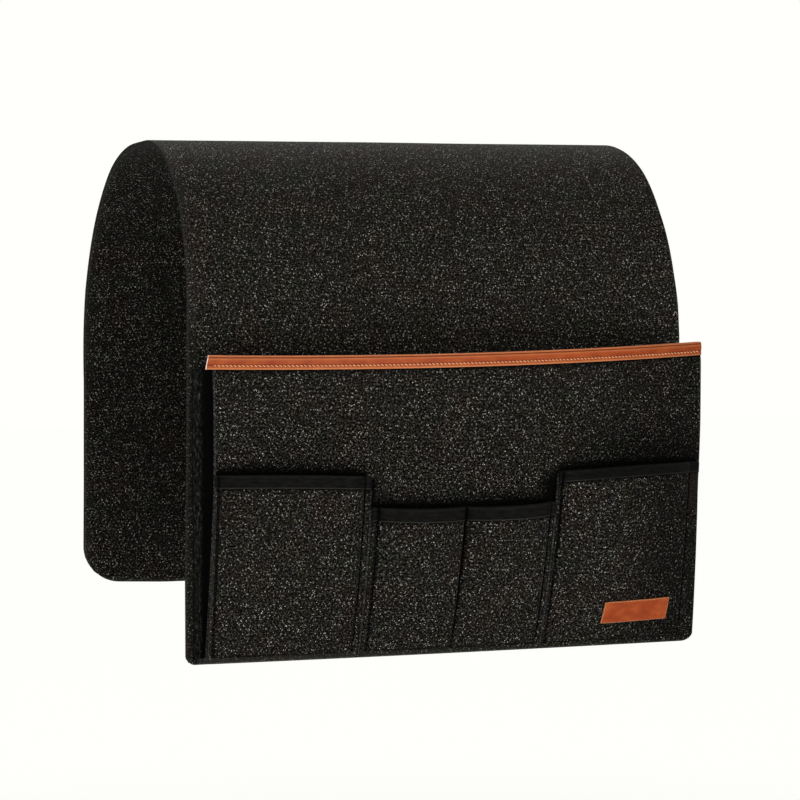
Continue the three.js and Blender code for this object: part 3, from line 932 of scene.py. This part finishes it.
def patch_tape(name):
    """Woven tape folded over a patch pocket's mouth."""
    patch = PATCHES[name]
    wall = CLEAR + TAPE
    low = -patch.tape
    # Each point: out, up, painted highlight, and darkness as painted shade
    front = [
        (0.3, low - 0.1, 0, 0),
        (wall - 0.1, low - 0.1, 0, 0),
        (wall + 0.12, low + 0.1, 0.3, 0),
        (wall + 0.12, low + 0.5, 0.4, 0),
        (wall - 0.12, low + 0.9, 0, 0.5),
        (wall, low + 1.5, 0, 0),
        (wall, -0.6, 0, 0),
        (wall, 0.2, 0, 0),
    ]
    top = arc(wall - 0.7, wall - 0.7, 0.7, 0.1, math.pi / 2, 4)
    section, marks = folded(front, top, PATCH_FELT, 0.1)
    x = patch_columns(patch)
    z = patch_top(patch, x)
    _, _, up, out = panel_frame(x, z)
    seam_and_shade = sewn(patch, x, z)
    origin = patch_point(patch, x, z, PATCH_FELT - 0.7 * GROOVE * seam_and_shade)
    # Seams, and painted shade and shadow towards the right and where the next patch begins
    along = {"seam_and_shade": np.maximum.reduce([0.9 * seam_and_shade, shade_to_right(x, *TAPE_SHADE_TO_RIGHT), 0.9 * beside_next(patch, x)])}
    return sweep_mesh("tape_weave_" + name, section, (origin, out, up), x, [tape_weave], marks, along)


patch_pieces = {name: patch_pocket(name) for name in PATCHES}
tape_pieces = {name: patch_tape(name) for name in PATCHES}


def label():
    """A small slanted piece of leather on the right patch pocket."""
    patch = PATCHES["right"]
    u, v = np.meshgrid(np.linspace(-0.5, 0.5, 24), np.linspace(-0.5, 0.5, 9))
    a = u * LABEL_LENGTH + v * LABEL_HEIGHT * math.tan(LABEL_SLANT)
    b = v * LABEL_HEIGHT
    x = LABEL_X + a * math.cos(LABEL_TURN) - b * math.sin(LABEL_TURN)
    z = FLOOR_Z + LABEL_RISE + a * math.sin(LABEL_TURN) + b * math.cos(LABEL_TURN)
    outer = patch_point(patch, x, z, PATCH_FELT + CLEAR + LEATHER)
    inner = patch_point(patch, x, z, PATCH_FELT + 0.05)
    places = np.stack([a + LABEL_ON_PATTERN, b], axis=-1)
    return sheet_mesh("label_leather", outer, inner, places, [leather, worn_leather], 0.25)


label_piece = label()


# Side gussets and pocket floor
def gusset(name, side):
    """Cloth from the strip to the panel's edge with one fold inwards. It starts close to the strip's
    edge and ends just inside the panel's."""
    u, v = np.meshgrid(np.linspace(0, 1, 34), np.linspace(0, 1, 44))
    height_share = 0.93 * v
    pull = left_pull(height_share) if side < 0 else -right_pull(height_share)
    end = PANEL_HALF - GUSSET_INSET - pull
    low = FLOOR_Z + FELT + 0.1 - HEM_SAG + (HEM_SAG + PANEL_LOW) * u
    high = mouth_z(side * GUSSET_FRONT) - BINDING_HEIGHT - 1.0
    z = low + v * (high - low)
    back = -FRONT_REACH - 0.1
    front = off_panel(side * GUSSET_FRONT, z, -FELT - 0.1)[..., 1]
    fold = PLEAT * np.sin(math.pi * u) ** 2.2
    ripple = 0.22 * np.sin(u * 46 + v * 4.0) * np.sin(math.pi * u) ** 0.5
    x = GUSSET_REAR + (end - GUSSET_REAR) * u - fold - ripple

    def wall(inwards):
        return np.stack([side * (x - inwards), back + u * (front - back), z], axis=-1)

    # Painted shade: the fold's inner half, and a thin dark line where the gusset meets the strip
    fold_shade = np.maximum(slope(u - 0.18, 0.04), 0.8 * bell(u, 0.025))
    grids = [wall(0.0), wall(GUSSET_CLOTH), np.stack([u * 50, z], axis=-1), fold_shade]
    if side < 0:
        grids = [grid[:, ::-1] for grid in grids]
    outer, inner, places, fold_shade = grids
    return sheet_mesh(name, outer, inner, places, [polyester], 0.2, marks={"seam_and_shade": fold_shade})


def pocket_floor():
    """The strip's turned-under end, from the front drop to the panel."""
    x, v = np.meshgrid(np.linspace(-PANEL_HALF + 1, PANEL_HALF - 1, 60), np.linspace(0, 1, 9))
    y = -FRONT_REACH - v * (FLOOR_DEPTH - FELT)
    z = FLOOR_Z - HEM_SAG + (HEM_SAG + PANEL_LOW) * v
    low = np.stack([x, y, z], axis=-1)
    high = np.stack([x, y, z + FELT], axis=-1)
    places = np.stack([x, y + FLOOR_ON_PATTERN], axis=-1)
    return sheet_mesh("pocket_floor_felt", high[::-1], low[::-1], places, [panel_felt, cut_felt], 0.3)


gusset_left = gusset("gusset_cloth_left", -1)
gusset_right = gusset("gusset_cloth_right", 1)
floor_piece = pocket_floor()


# Stitches: short bars of thread that dip into the face at both ends. Each ring of points along a
# stitch has its share of the length and of the thickness.
STITCH_RINGS = ((0.0, 0.35), (0.12, 0.85), (0.5, 1.0), (0.88, 0.85), (1.0, 0.35))


def stitches(name, starts, ends, outs, radius, material):
    """Stitches between these ends, on different stretches of the pattern."""
    points, faces, flat = [], [], []
    around = 6
    for start, end, out in zip(starts, ends, outs):
        side = unit(np.cross(end - start, out))
        base = len(points)
        for share, size in STITCH_RINGS:
            sunk = radius * 1.2 * (1 - math.sin(math.pi * share) ** 0.5)
            centre = start + (end - start) * share - out * sunk
            for k in range(around):
                angle = 2 * math.pi * k / around
                points.append(centre + radius * size * (math.cos(angle) * out + math.sin(angle) * side))
                flat.append((share * 3 + len(flat) % 97, angle))
        for ring in range(len(STITCH_RINGS) - 1):
            for k in range(around):
                a, b = base + ring * around + k, base + ring * around + (k + 1) % around
                faces.append((a, b, b + around, a + around))
        faces.append(tuple(base + k for k in reversed(range(around))))
        faces.append(tuple(base + (len(STITCH_RINGS) - 1) * around + k for k in range(around)))
    return make_piece(name, points, faces, [material], flat, angle=80)


def binding_stitches():
    """Slanted tan stitches on both faces of the binding."""
    pitch, length, slant = 2.4, 1.95, 0.8
    x = np.arange(-PANEL_HALF + 0.5, PANEL_HALF - 3, pitch)
    starts, ends, outs = [], [], []
    for side, level in ((1, 1.35), (-1, -FELT - 1.35)):
        o1, _, u1, n1 = panel_frame(x, mouth_z(x))
        o2, _, u2, n2 = panel_frame(x + length, mouth_z(x + length))
        starts.append(o1 + u1 * (STITCH_UP + slant / 2) + n1 * level)
        ends.append(o2 + u2 * (STITCH_UP - slant / 2) + n2 * level)
        outs.append(n1 * side)
    return stitches("binding_stitches", *map(np.concatenate, (starts, ends, outs)), 0.34, tan_thread)


def patch_stitches():
    """Black stitches sunk in the patch pockets' seams."""
    pitch, length = 3.2, 2.3
    starts, ends, outs = [], [], []
    for patch in PATCHES.values():
        for seam in seams(patch):
            z = np.arange(FLOOR_Z + BOTTOM_SEAM + 1, patch_top(patch, seam) - 1, pitch)
            x = np.full_like(z, seam)
            taped = np.where(z > patch_top(patch, seam) - patch.tape - 1, TAPE + CLEAR, 0.0)
            level = PATCH_FELT - GROOVE + 0.05 + taped
            starts.append(patch_point(patch, x, z, level))
            ends.append(patch_point(patch, x, z + length, level))
            outs.append(panel_frame(x, z)[3])
    return stitches("patch_stitches", *map(np.concatenate, (starts, ends, outs)), 0.32, black_thread)


binding_thread = binding_stitches()
patch_thread = patch_stitches()


# What each piece rides on and stands for
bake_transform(strip_front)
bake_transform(strip_back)
for piece in (gusset_left, gusset_right, floor_piece):
    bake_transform(piece)
for piece in (panel, binding, label_piece, binding_thread, patch_thread):
    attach(piece, "pocket_front")
for piece in (*patch_pieces.values(), *tape_pieces.values()):
    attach(piece, "pocket_front")

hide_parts("strip_top", "strip_front_drop")
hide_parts("strip_top", "strip_back_flap")
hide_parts("strip_floor")
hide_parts("gusset_left")
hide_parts("gusset_right")
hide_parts("front_panel")
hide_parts("mouth_binding")
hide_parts("label")
for name in PATCHES:
    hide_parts("patch_pocket_" + name)
    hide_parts("tape_" + name)


# Floor, light and background. Each lamp has its place, what it is turned to, its width and height in
# metres and its power in watts.
WARM_WHITE = (1.0, 1.0, 0.965)
FLOOR_LEVEL = -0.62
FLOOR_HALF = 8
LAMPS = {
    "lamp_behind": ((0, 1.6, 1.3), (0, 0, 0), 1.8, 0.8, 26),
    "lamp_above": ((0, 1.0, 2.0), (0, 0, 0), 1.8, 1.0, 23),
    "lamp_high": ((0, -1.6, 1.4), (0, 0, -0.1), 1.2, 0.8, 9),
    "lamp_front": ((-0.25, -1.9, -0.1), (0, 0, -0.1), 0.8, 0.6, 9),
    "lamp_left": ((-2.0, -0.9, 0.4), (0, 0, -0.1), 1.0, 1.0, 7),
    "lamp_low": ((0.15, -1.5, -0.45), (0, 0, -0.2), 1.2, 0.25, 5),
}


def white_where_seen(tree, rays):
    """1 for what the camera sees straight, in a gloss or through glass."""
    seen = maths(tree, "ADD", rays["Is Camera Ray"], rays["Is Glossy Ray"])
    return maths(tree, "MINIMUM", maths(tree, "ADD", seen, rays["Is Transmission Ray"]), 1.0)


def make_floor():
    mesh = bpy.data.meshes.new("floor")
    signs = ((-1, -1), (1, -1), (1, 1), (-1, 1))
    corners = [(x * FLOOR_HALF, y * FLOOR_HALF, FLOOR_LEVEL) for x, y in signs]
    mesh.from_pydata(corners, [], [(0, 1, 2, 3)])
    floor = new_object("floor", mesh)
    material, tree, shader = new_material("floor", Base_Color=(0.8, 0.8, 0.8), Roughness=0.9)
    white = add(tree, "Emission", {"Color": WARM_WHITE, "Strength": 1.0})[0]
    place = add(tree, "Mapping", {"Vector": add(tree, "NewGeometry")["Position"], "Scale": (1, 1, 0)})[0]
    distance = add(tree, "VectorMath", {0: place}, operation="LENGTH")["Value"]
    away = add(tree, "MapRange", {0: distance, 1: 0.4, 2: 1.1, 3: 0.8, 4: 0.99})[0]
    share = maths(tree, "MULTIPLY", white_where_seen(tree, add(tree, "LightPath")), away)
    both = add(tree, "MixShader", {0: share, 1: shader.outputs[0], 2: white})[0]
    tree.links.new(both, tree.nodes["Material Output"].inputs["Surface"])
    mesh.materials.append(material)


def make_world():
    world = bpy.data.worlds.new("world")
    bpy.context.scene.world = world
    world.use_nodes = True
    tree = world.node_tree
    tree.nodes.clear()
    light = add(tree, "Background", {"Color": (1, 1, 1), "Strength": 0.03})[0]
    white = add(tree, "Background", {"Color": WARM_WHITE, "Strength": 1.0})[0]
    seen = white_where_seen(tree, add(tree, "LightPath"))
    both = add(tree, "MixShader", {0: seen, 1: light, 2: white})[0]
    add(tree, "OutputWorld", {"Surface": both})


def make_lamp(name, at, towards, width, height, power):
    data = bpy.data.lights.new(name, "AREA")
    data.shape = "RECTANGLE"
    data.size = width
    data.size_y = height
    data.energy = power
    lamp = new_object(name, data)
    lamp.location = at
    lamp.rotation_euler = (Vector(towards) - Vector(at)).to_track_quat("-Z", "Y").to_euler()
    lamp.visible_camera = False


make_floor()
make_world()
for name, settings in LAMPS.items():
    make_lamp(name, *settings)

bpy.context.scene.view_settings.view_transform = "Standard"
